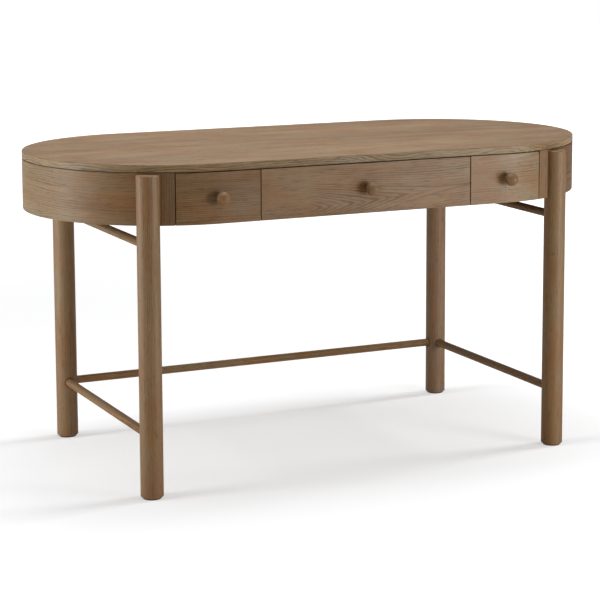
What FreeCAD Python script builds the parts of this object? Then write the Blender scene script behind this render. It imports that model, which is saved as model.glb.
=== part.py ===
import FreeCAD, Part
import math
import os
import re

import Sketcher

# A writing desk with round ends: a thin top over a curved apron with three drawers, on four
# turned legs that stand half outside the apron, tied by round stretchers.
# Lengths are millimetres and angles degrees. X runs along the desk with the sitter's right
# at +X, the sitter sits at -Y, Z is up, and the origin is on the floor under the middle of the
# whole desk, knobs included. Places are worked out from the middle of the round-ended plan, which
# lies a little behind the origin because of the knobs.
SIZES = {
    "desk_length": 1422,
    "desk_height": 762,
    "end_radius": 343,
    "top_thickness": 18,
    "top_chamfer": 1.2,
    "reveal_height": 2,
    "reveal_depth": 5,
    "apron_height": 119,
    "apron_thickness": 20,
    "leg_radius": 26.5,
    "leg_angle": 28,
    "leg_proud": 4,
    "leg_top_gap": 3,
    "leg_top_round": 2,
    "foot_chamfer": 3,
    "glide_radius": 21,
    "glide_height": 3,
    "stile_turn": 2.5,
    "rod_radius": 10,
    "rod_seat": 14,
    "lower_rod_height": 143,
    "upper_rod_drop": 45,
    "stile_width": 31.4,
    "side_front_width": 201,
    "front_gap": 2.5,
    "front_top_gap": 1.5,
    "frame_setback": 1,
    "divider_thickness": 18,
    "panel_setback": 3,
    "rail_thickness": 18,
    "rail_depth": 60,
    "rail_setback": 4,
    "block_thickness": 30,
    "block_width": 80,
    "block_drop": 6,
    "bolt_radius": 4,
    "bolt_reach": 20,
    "bolt_spacing": 50,
    "bolt_head_radius": 7.5,
    "bolt_head_height": 5.3,
    "washer_width": 20,
    "washer_length": 70,
    "washer_thickness": 1.6,
    "hole_clearance": 0.5,
    "top_screw_radius": 2.2,
    "top_screw_bite": 12,
    "top_screw_head_radius": 4.6,
    "top_screw_head_height": 2.8,
    "top_screw_inset": 96,
    "top_screw_spacing": 230,
    "box_thickness": 12,
    "box_height": 72,
    "box_lift": 5,
    "box_length": 400,
    "front_housing": 6,
    "bottom_thickness": 6,
    "bottom_rise": 8,
    "groove_depth": 5,
    "slide_width": 13,
    "slide_height": 35,
    "slide_length": 370,
    "slide_wall": 1.5,
    "slide_play": 0.3,
    "knob_radius": 16,
    "knob_reach": 22,
    "neck_radius": 8,
    "knob_screw_radius": 2,
    "knob_screw_bite": 12,
    "knob_screw_sink": 1,
    "knob_screw_head_radius": 4.5,
    "knob_screw_head_height": 2.5,
    "overrun": 10,
}

# Places that several pieces share, written with the sizes above.
END_X = "(desk_length / 2 - end_radius)"
APRON_TOP = "(desk_height - top_thickness)"
APRON_BOTTOM = "(desk_height - top_thickness - apron_height)"
APRON_MIDDLE = "(desk_height - top_thickness - apron_height / 2)"
INNER_RADIUS = "(end_radius - apron_thickness)"
LEG_X = f"({END_X} + (end_radius + leg_proud) * sin(leg_angle))"
LEG_Y = "((end_radius + leg_proud) * cos(leg_angle))"
LEG_TOP = f"({APRON_TOP} - leg_top_gap)"
UPPER_ROD = f"({APRON_BOTTOM} - upper_rod_drop)"
SIDE_END = f"({LEG_X} - leg_radius - stile_width)"
SIDE_START = f"({SIDE_END} - side_front_width)"
PANEL_X = f"({SIDE_END} + panel_setback)"
RAIL_Y = f"(sqrt({INNER_RADIUS} ^ 2 - ({PANEL_X} - {END_X}) ^ 2) - rail_setback)"
BOX_BOTTOM = f"({APRON_BOTTOM} + rail_thickness + box_lift)"
BOX_MIDDLE = f"({BOX_BOTTOM} + box_height / 2)"
KNOB_X = f"(({SIDE_START} + {SIDE_END}) / 2)"
FRONT_Y = "(-end_radius)"
PLAN_Y = "((knob_reach + knob_radius) / 2)"

doc = FreeCAD.newDocument("WritingDesk")
sheet = doc.addObject("Spreadsheet::Sheet", "Sizes")
for row, (alias, size) in enumerate(SIZES.items(), start=1):
    sheet.set(f"A{row}", alias)
    sheet.set(f"B{row}", str(size))
    sheet.setAlias(f"B{row}", alias)
doc.recompute()

pieces = []


def rule(text):
    """Points each size name in a formula at its cell of the sheet."""
    return re.sub(r"[a-z_]+", lambda m: "Sizes." + m[0] if m[0] in SIZES else m[0], str(text))


def number(text):
    """What a formula of sizes comes to."""
    return float(sheet.evalExpression(rule(text)))


def bind(thing, **formulas):
    for name, text in formulas.items():
        thing.setExpression(name, rule(text))
    return thing


def place(thing, spot, axis="Z", turn="0"):
    """Puts a thing's origin at a spot of the plan, its Z along an axis and then turned round the desk's Z."""
    tilt = {"Z": (0, 0, 0), "X": (0, 90, 0), "Y": (0, 0, -90), "-Y": (0, 0, 90)}[axis]
    turned = FreeCAD.Rotation(number(turn), 0, 0) * FreeCAD.Rotation(*tilt)
    thing.Placement = FreeCAD.Placement(FreeCAD.Vector(), turned)
    return move(thing, spot)


def move(thing, spot):
    across, along, up = spot
    for letter, text in (("x", across), ("y", f"{along} + {PLAN_Y}"), ("z", up)):
        thing.setExpression(f"Placement.Base.{letter}", rule(text))
    return thing


def keep(thing, label):
    """Marks a finished piece and names it."""
    thing.Label = label
    pieces.append(thing)
    return thing


def box(low, high):
    """A block between two corners."""
    thing = doc.addObject("Part::Box", "Block")
    for side, start, end in zip(("Length", "Width", "Height"), low, high):
        thing.setExpression(side, rule(f"({end}) - ({start})"))
    return place(thing, low)


def rod(radius, length, start, axis="Z", turn="0"):
    thing = doc.addObject("Part::Cylinder", "Rod")
    bind(thing, Radius=radius, Height=length)
    return place(thing, start, axis, turn)


def hexagon(corner_radius, height):
    """A bolt or screw head with six flats, not yet placed."""
    thing = doc.addObject("Part::Prism", "Head")
    thing.Polygon = 6
    return bind(thing, Circumradius=corner_radius, Height=height)


def wedge(radius, height, start, first, sweep):
    """A slice of a disc, from one angle round to the next."""
    thing = rod(radius, height, start, turn=first)
    return bind(thing, Angle=sweep)


def cut(base, *tools):
    for tool in tools:
        made = doc.addObject("Part::Cut", "Cut")
        made.Base, made.Tool = base, tool
        base = made
    return base


def common(first, second):
    made = doc.addObject("Part::Common", "Common")
    made.Base, made.Tool = first, second
    return made


def fuse(*things):
    made = doc.addObject("Part::MultiFuse", "Fuse")
    made.Shapes = list(things)
    return made


def group(things):
    """Like pieces that share one node and stay separate solids."""
    made = doc.addObject("Part::Compound", "Group")
    made.Links = list(things)
    return made


def mirrored(thing, across):
    made = doc.addObject("Part::Mirroring", "Mirrored")
    made.Source = thing
    made.Normal = {"X": FreeCAD.Vector(1, 0, 0), "Y": FreeCAD.Vector(0, 1, 0)}[across]
    made.setExpression("Base.y", rule(PLAN_Y))
    return made


def keep_pair(thing, right_label, left_label):
    """A right-hand piece and its mirror image on the left."""
    return keep(thing, right_label), keep(mirrored(thing, "X"), left_label)


def sketch_in(body, plane):
    sketch = body.newObject("Sketcher::SketchObject", "Profile")
    support = [p for p in body.Origin.OriginFeatures if p.Role == plane]
    sketch.AttachmentSupport = [(support[0], "")]
    sketch.MapMode = "FlatFace"
    return sketch


def pin_point(sketch, line, end, across, up):
    """Ties a point of a sketch to its two formulas."""
    for kind, axis, text in (("DistanceX", -2, across), ("DistanceY", -1, up)):
        if text == "0":
            sketch.addConstraint(Sketcher.Constraint("PointOnObject", line, end, axis))
        else:
            held = sketch.addConstraint(Sketcher.Constraint(kind, -1, 1, line, end, number(text)))
            sketch.setExpression(f"Constraints[{held}]", rule(text))


def draw_outline(sketch, points):
    """A closed outline of straight lines through the given points."""
    spots = [FreeCAD.Vector(number(a), number(b), 0) for a, b in points]
    for i in range(len(spots)):
        sketch.addGeometry(Part.LineSegment(spots[i - 1], spots[i]), False)
    for i in range(len(spots)):
        sketch.addConstraint(Sketcher.Constraint("Coincident", (i - 1) % len(spots), 2, i, 1))
    for i, (across, up) in enumerate(points):
        pin_point(sketch, i, 2, across, up)


def extruded(plane, points, length, spot):
    """A straight bar with the given cross-section."""
    body = doc.addObject("PartDesign::Body", "Bar")
    sketch = sketch_in(body, plane)
    draw_outline(sketch, points)
    pad = body.newObject("PartDesign::Pad", "Pad")
    pad.Profile = sketch
    bind(pad, Length=length)
    return place(body, spot)


def turned(sketch_points, spot, axis="Z"):
    """A piece turned on a lathe, from the outline of one half."""
    body = doc.addObject("PartDesign::Body", "Turned")
    sketch = sketch_in(body, "XZ_Plane")
    draw_outline(sketch, sketch_points)
    lathe = body.newObject("PartDesign::Revolution", "Lathe")
    lathe.Profile = sketch
    lathe.ReferenceAxis = (sketch, ["V_Axis"])
    lathe.Angle = 360
    return place(body, spot, axis)


def round_ended(body, inset):
    """A sketch of the desk's plan: two straight sides and two half-round ends, drawn in by an inset."""
    sketch = sketch_in(body, "XY_Plane")
    radius = f"(end_radius - {inset})"
    end, r = number(END_X), number(radius)
    up = FreeCAD.Vector(0, 0, 1)
    quarter = math.pi / 2
    sketch.addGeometry(Part.LineSegment(FreeCAD.Vector(-end, -r, 0), FreeCAD.Vector(end, -r, 0)), False)
    ring = Part.Circle(FreeCAD.Vector(end, 0, 0), up, r)
    sketch.addGeometry(Part.ArcOfCircle(ring, -quarter, quarter), False)
    sketch.addGeometry(Part.LineSegment(FreeCAD.Vector(end, r, 0), FreeCAD.Vector(-end, r, 0)), False)
    ring = Part.Circle(FreeCAD.Vector(-end, 0, 0), up, r)
    sketch.addGeometry(Part.ArcOfCircle(ring, quarter, 3 * quarter), False)
    for i in range(4):
        sketch.addConstraint(Sketcher.Constraint("Coincident", i, 2, (i + 1) % 4, 1))
    pin_point(sketch, 0, 1, f"-{END_X}", f"-{radius}")
    pin_point(sketch, 0, 2, END_X, f"-{radius}")
    pin_point(sketch, 2, 1, END_X, radius)
    pin_point(sketch, 2, 2, f"-{END_X}", radius)
    for arc, across in ((1, END_X), (3, f"-{END_X}")):
        held = sketch.addConstraint(Sketcher.Constraint("DistanceX", -1, 1, arc, 3, number(across)))
        sketch.setExpression(f"Constraints[{held}]", rule(across))
    return sketch


def half_plan(inset, low, high):
    """The right half of the desk's plan as a solid, drawn in by an inset."""
    radius = f"(end_radius - ({inset}))"
    straight = box(("0", f"-{radius}", low), (END_X, radius, high))
    return fuse(straight, rod(radius, f"({high}) - ({low})", (END_X, "0", low)))


def top_screw_spots():
    """Where the screws go up through the two upper rails into the top."""
    outer = f"({PANEL_X} - top_screw_inset)"
    inner = f"({outer} - top_screw_spacing)"
    for y in (f"-({RAIL_Y} - rail_depth / 2)", f"({RAIL_Y} - rail_depth / 2)"):
        for x in (f"-{outer}", f"-{inner}", inner, outer):
            yield x, y


def bolt_heights():
    return f"({APRON_MIDDLE} - bolt_spacing / 2)", f"({APRON_MIDDLE} + bolt_spacing / 2)"


def on_leg_line(distance):
    """The x and y of a point on the line from a round end's centre out through the front leg."""
    return f"({END_X} + ({distance}) * sin(leg_angle))", f"(-({distance}) * cos(leg_angle))"


def along_leg_line(thing, distance, z):
    """Points a thing outwards along the leg line, from a distance out from the round end's centre."""
    outward = FreeCAD.Vector(number("sin(leg_angle)"), -number("cos(leg_angle)"), 0)
    thing.Placement = FreeCAD.Placement(FreeCAD.Vector(), FreeCAD.Rotation(FreeCAD.Vector(0, 0, 1), outward))
    return move(thing, (*on_leg_line(distance), z))


def leg_line_rod(radius, first, last, z):
    """A rod along the leg line, between two distances from the round end's centre."""
    thing = doc.addObject("Part::Cylinder", "Rod")
    bind(thing, Radius=radius, Height=f"({last}) - ({first})")
    return along_leg_line(thing, first, z)


def leg_line_block(width, outer, thickness, low, height):
    """A block square to the leg line, from a distance out from the round end's centre inwards."""
    thing = doc.addObject("Part::Box", "Block")
    bind(thing, Length=width, Width=thickness, Height=height)
    corner = (f"{END_X} - {width} / 2 * cos(leg_angle) + {outer} * sin(leg_angle)",
              f"-{width} / 2 * sin(leg_angle) - {outer} * cos(leg_angle)", low)
    return place(thing, corner, turn="leg_angle")


def make_top():
    """The top: a full round-ended board with a fine groove under its rim that reads as a shadow line."""
    body = doc.addObject("PartDesign::Body", "Top")
    board = body.newObject("PartDesign::Pad", "Board")
    board.Profile = round_ended(body, "0")
    bind(board, Length="top_thickness - reveal_height")
    seat = body.newObject("PartDesign::Pad", "Seat")
    seat.Profile = round_ended(body, "reveal_depth")
    seat.Reversed = True
    bind(seat, Length="reveal_height")
    doc.recompute()
    crown = number("top_thickness - reveal_height")
    rim = [f"Edge{i}" for i, edge in enumerate(seat.Shape.Edges, start=1)
           if all(abs(v.Z - crown) < number("top_chamfer") / 100 for v in edge.Vertexes)]
    softened = body.newObject("PartDesign::Chamfer", "Softened")
    softened.Base = (seat, rim)
    bind(softened, Size="top_chamfer")
    place(body, ("0", "0", f"{APRON_TOP} + reveal_height"))
    holes = [rod("top_screw_radius", "top_screw_bite", (x, y, APRON_TOP)) for x, y in top_screw_spots()]
    keep(cut(body, fuse(*holes)), "desktop")


def make_aprons():
    """The bent end aprons run from behind a front leg round to the straight back."""
    ring = cut(rod("end_radius", "apron_height", (END_X, "0", APRON_BOTTOM)),
               rod(INNER_RADIUS, "apron_height + 2 * overrun", (END_X, "0", f"{APRON_BOTTOM} - overrun")))
    joint_turn = "(leg_angle - stile_turn)"
    holes = fuse(*[leg_line_rod("bolt_radius + hole_clearance", f"{INNER_RADIUS} - overrun",
                                "end_radius + overrun", z) for z in bolt_heights()])
    back_holes = mirrored(holes, "Y")
    sweep = wedge("end_radius + overrun", "apron_height", (END_X, "0", APRON_BOTTOM),
                  f"{joint_turn} - 90", f"180 - {joint_turn}")
    keep_pair(cut(common(ring, sweep), holes, back_holes), "apron_right", "apron_left")
    narrow = wedge("end_radius + overrun", "apron_height", (END_X, "0", APRON_BOTTOM), "-90", joint_turn)
    drawer_side = box(("0", "-2 * end_radius", f"{APRON_BOTTOM} - overrun"),
                      (f"{SIDE_END} + front_gap / 2", "0", f"{APRON_TOP} + overrun"))
    keep_pair(cut(common(ring, narrow), drawer_side), "stile_right", "stile_left")
    keep(box((f"-{END_X}", INNER_RADIUS, APRON_BOTTOM), (END_X, "end_radius", APRON_TOP)), "apron_back")


def make_frame_boards():
    """Boards inside the apron: two dividers and two end panels that carry the drawer slides, and rails."""
    low, high = f"({APRON_BOTTOM} + rail_thickness)", f"({APRON_TOP} - rail_thickness)"
    face, rail_in = f"(-({INNER_RADIUS} - frame_setback))", f"({RAIL_Y} - rail_depth)"
    outline = [(face, low), (f"-{rail_in}", low), (f"-{rail_in}", APRON_BOTTOM), (INNER_RADIUS, APRON_BOTTOM),
               (INNER_RADIUS, APRON_TOP), (RAIL_Y, APRON_TOP), (RAIL_Y, high), (rail_in, high),
               (rail_in, APRON_TOP), (f"-{rail_in}", APRON_TOP), (f"-{rail_in}", high), (face, high)]
    divider = extruded("YZ_Plane", outline, "divider_thickness",
                       (f"{SIDE_START} - divider_thickness / 2", "0", "0"))
    keep_pair(divider, "divider_right", "divider_left")
    panel = box((PANEL_X, "-end_radius", APRON_BOTTOM),
                (f"{PANEL_X} + divider_thickness", "end_radius", APRON_TOP))
    keep_pair(common(panel, half_plan("apron_thickness", APRON_BOTTOM, APRON_TOP)),
              "end_panel_right", "end_panel_left")
    keep(box((f"-{PANEL_X}", f"-{RAIL_Y}", APRON_BOTTOM), (PANEL_X, f"-{rail_in}", low)), "rail_front_lower")
    upper = {"rail_front_upper": (f"-{RAIL_Y}", f"-{rail_in}"), "rail_back_upper": (rail_in, RAIL_Y)}
    for label, (near, far) in upper.items():
        board = box((f"-{PANEL_X}", near, high), (PANEL_X, far, APRON_TOP))
        spots = [spot for spot in top_screw_spots() if (number(spot[1]) < 0) == (number(near) < 0)]
        holes = [rod("top_screw_radius + hole_clearance", "rail_thickness", (x, y, high)) for x, y in spots]
        keep(cut(board, fuse(*holes)), label)


def make_corner_blocks():
    """A block behind each leg, shaped to the bent apron, that the leg bolts pull against."""
    depth, low = f"({INNER_RADIUS} - block_thickness)", f"({APRON_BOTTOM} + block_drop)"
    blank = leg_line_block("block_width", "end_radius", "block_thickness + apron_thickness", low,
                           "apron_height - block_drop")
    shaped = common(blank, rod(INNER_RADIUS, "apron_height", (END_X, "0", low)))
    panel_side = box(("0", "-2 * end_radius", f"{APRON_BOTTOM} - overrun"),
                     (f"{PANEL_X} + divider_thickness", "0", f"{APRON_TOP} + overrun"))
    holes = [leg_line_rod("bolt_radius + hole_clearance", f"{depth} - overrun", "end_radius", z)
             for z in bolt_heights()]
    front = cut(shaped, panel_side, fuse(*holes))
    keep_pair(front, "corner_block_front_right", "corner_block_front_left")
    keep_pair(mirrored(front, "Y"), "corner_block_back_right", "corner_block_back_left")


def make_bolts():
    """Two bolts draw each leg onto the apron from inside, over one long washer."""
    seat = f"({INNER_RADIUS} - block_thickness)"
    bolts, bores = [], []
    for z in bolt_heights():
        shank = leg_line_rod("bolt_radius", f"{seat} - washer_thickness", "end_radius + bolt_reach", z)
        head = along_leg_line(hexagon("bolt_head_radius", "bolt_head_height"),
                              f"{seat} - washer_thickness - bolt_head_height", z)
        bolts.append(fuse(shank, head))
        bores.append(leg_line_rod("bolt_radius + hole_clearance", f"{seat} - overrun", "end_radius", z))
    strip = leg_line_block("washer_width", seat, "washer_thickness", f"{APRON_MIDDLE} - washer_length / 2",
                           "washer_length")
    for label, things in (("leg_bolts", bolts), ("leg_washers", [cut(strip, *bores)])):
        right = group([*things, *[mirrored(thing, "Y") for thing in things]])
        keep(group([right, mirrored(right, "X")]), label)


def make_legs():
    """Turned legs: the upper end is lapped to half its width, so the apron sits on a shoulder and the leg
    stands proud of it. Round sockets take the stretchers."""
    profile = [("0", "glide_height"), ("leg_radius - foot_chamfer", "glide_height"),
               ("leg_radius", "glide_height + foot_chamfer"), ("leg_radius", f"{LEG_TOP} - leg_top_round"),
               ("leg_radius - leg_top_round", LEG_TOP), ("0", LEG_TOP)]
    reach = "(leg_radius - rod_seat)"
    lap = rod("end_radius", "apron_height + overrun", (END_X, "0", APRON_BOTTOM))
    bores = [leg_line_rod("bolt_radius", "end_radius - overrun", "end_radius + bolt_reach", z)
             for z in bolt_heights()]
    sockets = [rod("rod_radius", f"leg_radius + overrun - {reach}", (LEG_X, f"-{LEG_Y} + {reach}", z), "Y")
               for z in ("lower_rod_height", UPPER_ROD)]
    turned_leg = turned(profile, (LEG_X, f"-{LEG_Y}", "0"))
    front = cut(turned_leg, lap, fuse(*bores), fuse(*sockets))
    back_socket = rod("rod_radius", f"leg_radius + overrun - {reach}",
                      (f"{LEG_X} - leg_radius - overrun", LEG_Y, "lower_rod_height"), "X")
    back = cut(mirrored(front, "Y"), back_socket)
    keep_pair(front, "leg_front_right", "leg_front_left")
    keep_pair(back, "leg_back_right", "leg_back_left")
    glide = rod("glide_radius", "glide_height", (LEG_X, f"-{LEG_Y}", "0"))
    pair = group([glide, mirrored(glide, "Y")])
    keep(group([pair, mirrored(pair, "X")]), "foot_glides")


def make_stretchers():
    """Round stretchers, glued into the legs' sockets."""
    reach = "(leg_radius - rod_seat)"
    for height, name in (("lower_rod_height", "stretcher"), (UPPER_ROD, "upper_stretcher")):
        side = rod("rod_radius", f"2 * ({LEG_Y} - {reach})", (LEG_X, f"-{LEG_Y} + {reach}", height), "Y")
        keep_pair(side, f"{name}_right", f"{name}_left")
    keep(rod("rod_radius", f"2 * ({LEG_X} - {reach})",
             (f"-{LEG_X} + {reach}", LEG_Y, "lower_rod_height"), "X"), "stretcher_back")


def make_top_screws():
    """Screws up through the rails into the top."""
    seat = f"({APRON_TOP} - rail_thickness)"
    screws = []
    for x, y in top_screw_spots():
        shank = rod("top_screw_radius", "rail_thickness + top_screw_bite", (x, y, seat))
        head = place(hexagon("top_screw_head_radius", "top_screw_head_height"),
                     (x, y, f"{seat} - top_screw_head_height"))
        screws.append(fuse(shank, head))
    keep(group(screws), "top_screws")


def slide_pair(left_face, right_face, moving):
    """Two steel channels on the faces of an opening: fixed ones, or the moving ones nested in them."""
    wall, gap = "slide_wall", "(slide_wall + slide_play)"
    if moving:
        back, lips, half = "slide_width", gap, f"(slide_height / 2 - {gap})"
        web = "(slide_width - slide_wall)"
    else:
        back, lips, half, web = "0", f"(slide_width - {gap})", "(slide_height / 2)", wall
    outline = [(back, f"-{half}"), (lips, f"-{half}"),
               (lips, f"-{half} + {wall}"), (web, f"-{half} + {wall}"),
               (web, f"{half} - {wall}"), (lips, f"{half} - {wall}"), (lips, half), (back, half)]
    front = f"(-{RAIL_Y} + slide_length)"
    left = extruded("XZ_Plane", outline, "slide_length", (left_face, front, BOX_MIDDLE))
    flipped = [(f"-({across})" if across != "0" else "0", up) for across, up in outline]
    right = extruded("XZ_Plane", flipped, "slide_length", (right_face, front, BOX_MIDDLE))
    return group([left, right])


def drawer_boards(left_face, right_face):
    """The box of one drawer: two grooved sides, a back and a bottom that lies in the grooves."""
    left, right = f"({left_face} + slide_width)", f"({right_face} - slide_width)"
    back_y = f"(-{INNER_RADIUS} + box_length)"
    rise, thick = "bottom_rise", "box_thickness"
    lip = f"({thick} - groove_depth)"
    shape = [("0", "0"), (thick, "0"), (thick, rise), (lip, rise), (lip, f"{rise} + bottom_thickness"),
             (thick, f"{rise} + bottom_thickness"), (thick, "box_height"), ("0", "box_height")]
    length = "(box_length + front_housing)"
    first = extruded("XZ_Plane", shape, length, (left, back_y, BOX_BOTTOM))
    flipped = [(f"-({across})" if across != "0" else "0", up) for across, up in shape]
    second = extruded("XZ_Plane", flipped, length, (right, back_y, BOX_BOTTOM))
    floor_low, floor_high = f"({BOX_BOTTOM} + {rise})", f"({BOX_BOTTOM} + {rise} + bottom_thickness)"
    back = box((f"{left} + {thick}", f"{back_y} - {thick}", floor_high),
               (f"{right} - {thick}", back_y, f"{BOX_BOTTOM} + box_height"))
    floor = box((f"{left} + {lip}", f"-{INNER_RADIUS} - groove_depth", floor_low),
                (f"{right} - {lip}", back_y, floor_high))
    return first, second, back, floor


def turned_knob(x):
    """A ball on a short neck, bored from behind for its screw."""
    body = doc.addObject("PartDesign::Body", "Knob")
    sketch = sketch_in(body, "XZ_Plane")
    neck, ball, centre = number("neck_radius"), number("knob_radius"), number("knob_reach")
    meet = "(knob_reach - sqrt(knob_radius ^ 2 - neck_radius ^ 2))"
    corners = [FreeCAD.Vector(0, centre + ball, 0), FreeCAD.Vector(0, 0, 0), FreeCAD.Vector(neck, 0, 0),
               FreeCAD.Vector(neck, number(meet), 0)]
    for start, end in zip(corners, corners[1:]):
        sketch.addGeometry(Part.LineSegment(start, end), False)
    side = FreeCAD.Vector(ball, centre, 0)
    sketch.addGeometry(Part.Arc(corners[3], side, corners[0]), False)
    for i in range(4):
        sketch.addConstraint(Sketcher.Constraint("Coincident", i, 2, (i + 1) % 4, 1))
    pin_point(sketch, 0, 2, "0", "0")
    pin_point(sketch, 1, 2, "neck_radius", "0")
    pin_point(sketch, 2, 2, "neck_radius", meet)
    sketch.addConstraint(Sketcher.Constraint("PointOnObject", 0, 1, -2))
    pin_point(sketch, 3, 3, "0", "knob_reach")
    lathe = body.newObject("PartDesign::Revolution", "Lathe")
    lathe.Profile = sketch
    lathe.ReferenceAxis = (sketch, ["V_Axis"])
    lathe.Angle = 360
    place(body, (x, FRONT_Y, APRON_MIDDLE), "-Y")
    return cut(body, rod("knob_screw_radius", "knob_screw_bite", (x, FRONT_Y, APRON_MIDDLE), "-Y"))


def knob_screw(x):
    """A screw from inside the drawer, with its head sunk a little in the front's back face."""
    seat = f"(-{INNER_RADIUS} - knob_screw_sink)"
    shank = rod("knob_screw_radius", "apron_thickness - knob_screw_sink + knob_screw_bite",
                (x, seat, APRON_MIDDLE), "-Y")
    head = rod("knob_screw_head_radius", "knob_screw_head_height",
               (x, f"{seat} + knob_screw_head_height", APRON_MIDDLE), "-Y")
    return fuse(shank, head)


def knob_hole(x):
    """The hole and the sunk seat for a knob's screw."""
    behind = f"(-{INNER_RADIUS} + overrun)"
    through = rod("knob_screw_radius + hole_clearance", "apron_thickness + 2 * overrun",
                  (x, behind, APRON_MIDDLE), "-Y")
    seat = rod("knob_screw_head_radius + hole_clearance", "overrun + knob_screw_sink",
               (x, behind, APRON_MIDDLE), "-Y")
    return fuse(through, seat)


def make_centre_drawer():
    """The wide drawer, with a flat front."""
    face = f"({SIDE_START} - divider_thickness / 2)"
    first, second, back, floor = drawer_boards(f"-{face}", face)
    edge = f"({SIDE_START} - front_gap / 2)"
    blank = box((f"-{edge}", FRONT_Y, APRON_BOTTOM),
                (edge, f"-{INNER_RADIUS}", f"{APRON_TOP} - front_top_gap"))
    front = cut(blank, first, second, floor, knob_hole("0"))
    made = {"front": front, "side_left": first, "side_right": second, "back": back, "bottom": floor,
            "knob": turned_knob("0"), "knob_screw": knob_screw("0"),
            "slides": slide_pair(f"-{face}", face, moving=True)}
    for name, thing in made.items():
        keep(thing, f"centre_drawer_{name}")
    keep(slide_pair(f"-{face}", face, moving=False), "centre_fixed_slides")


def make_side_drawers():
    """The two narrow drawers. Each front starts flat and then follows the desk's round end."""
    near, far = f"({SIDE_START} + divider_thickness / 2)", PANEL_X
    first, second, back, floor = drawer_boards(near, far)
    housed = half_plan("apron_thickness - front_housing", APRON_BOTTOM, APRON_TOP)
    tongued = half_plan("apron_thickness - groove_depth", APRON_BOTTOM, APRON_TOP)
    first, second, floor = common(first, housed), common(second, housed), common(floor, tongued)
    front_top = f"({APRON_TOP} - front_top_gap)"
    rim = cut(half_plan("0", APRON_BOTTOM, front_top),
              half_plan("apron_thickness", f"({APRON_BOTTOM} - overrun)", APRON_TOP))
    span = box((f"{SIDE_START} + front_gap / 2", "-2 * end_radius", APRON_BOTTOM),
               (f"{SIDE_END} - front_gap / 2", "0", front_top))
    front = cut(common(rim, span), first, second, floor, knob_hole(KNOB_X))
    made = {"front": front, "side_inner": first, "side_outer": second, "back": back, "bottom": floor,
            "knob": turned_knob(KNOB_X), "knob_screw": knob_screw(KNOB_X),
            "slides": slide_pair(near, far, moving=True)}
    for name, thing in made.items():
        keep_pair(thing, f"right_drawer_{name}", f"left_drawer_{name}")
    keep_pair(slide_pair(near, far, moving=False), "right_fixed_slides", "left_fixed_slides")


make_top()
make_aprons()
make_frame_boards()
make_corner_blocks()
make_bolts()
make_legs()
make_stretchers()
make_top_screws()
make_centre_drawer()
make_side_drawers()
doc.recompute()

for thing in doc.Objects:
    faults = [state for state in thing.State if state in ("Invalid", "Error")]
    if faults:
        raise RuntimeError(f"{thing.Label} did not build: {faults}")
for piece in pieces:
    if piece.Shape.isNull() or not piece.Shape.isValid() or not piece.Shape.Solids:
        raise RuntimeError(f"{piece.Label} has no sound solid")

os.makedirs("parts", exist_ok=True)
for piece in pieces:
    piece.Shape.exportStep(f"parts/{piece.Label}.step")
    print(f"{piece.Label}: {len(piece.Shape.Solids)} solids, {piece.Shape.Volume / 1000:.1f} cm3")
print(len(pieces), "pieces")
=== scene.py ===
import math

import bmesh
import bpy
from mathutils import Matrix, Vector


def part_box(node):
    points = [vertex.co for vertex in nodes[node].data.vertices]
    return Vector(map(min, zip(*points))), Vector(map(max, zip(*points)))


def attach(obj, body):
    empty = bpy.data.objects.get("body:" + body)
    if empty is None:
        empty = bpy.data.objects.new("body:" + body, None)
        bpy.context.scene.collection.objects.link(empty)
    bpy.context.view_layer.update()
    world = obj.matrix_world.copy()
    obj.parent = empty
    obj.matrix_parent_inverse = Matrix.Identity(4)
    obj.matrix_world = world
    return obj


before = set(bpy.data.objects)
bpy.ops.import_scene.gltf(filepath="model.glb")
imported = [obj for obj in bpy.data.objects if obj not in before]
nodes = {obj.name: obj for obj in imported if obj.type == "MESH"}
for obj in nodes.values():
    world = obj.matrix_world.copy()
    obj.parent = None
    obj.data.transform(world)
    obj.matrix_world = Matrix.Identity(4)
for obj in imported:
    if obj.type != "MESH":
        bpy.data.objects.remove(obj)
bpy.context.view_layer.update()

# The bent aprons, the straight back and the two stiles beside the front legs.
# They are plywood and solid cores pressed round a mould and faced with oak veneer,
# whose grain runs level round the desk. The stiles are veneered upright.

top_low, top_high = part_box("desktop")
plan_middle = (top_low.y + top_high.y) / 2
end_radius = (top_high.y - top_low.y) / 2
end_centre = top_high.x - end_radius


def put(tree, kind, inputs=None, **settings):
    """Adds a node. An input that is a socket is joined, and any other value is set."""
    node = tree.nodes.new(kind)
    for name, value in settings.items():
        setattr(node, name, value)
    for name, value in (inputs or {}).items():
        if isinstance(value, bpy.types.NodeSocket):
            tree.links.new(value, node.inputs[name])
        else:
            node.inputs[name].default_value = value
    return node


def calc(tree, operation, *terms):
    """Arithmetic on numbers and sockets."""
    node = put(tree, "ShaderNodeMath", dict(enumerate(terms)), operation=operation)
    return node.outputs[0]


def join(tree, x, y, z):
    """A place made of its three distances."""
    return put(tree, "ShaderNodeCombineXYZ", {0: x, 1: y, 2: z}).outputs[0]


def split(tree, vector):
    """The three distances of a place."""
    return put(tree, "ShaderNodeSeparateXYZ", {0: vector}).outputs


def stretch(tree, vector, x, y, z):
    """A place scaled by its own amount each way, for a pattern drawn out along the grain."""
    return put(tree, "ShaderNodeVectorMath", {0: vector, 1: (x, y, z)}, operation="MULTIPLY").outputs[0]


def shift(tree, vector, by):
    """A place moved aside, for another part of the same pattern."""
    return put(tree, "ShaderNodeVectorMath", {0: vector, 1: by}, operation="ADD").outputs[0]


def noise(tree, vector, scale=1.0, detail=2.0, roughness=0.5):
    """Soft random blotches from 0 to 1."""
    values = {"Vector": vector, "Scale": scale, "Detail": detail, "Roughness": roughness}
    return put(tree, "ShaderNodeTexNoise", values).outputs[0]


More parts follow.
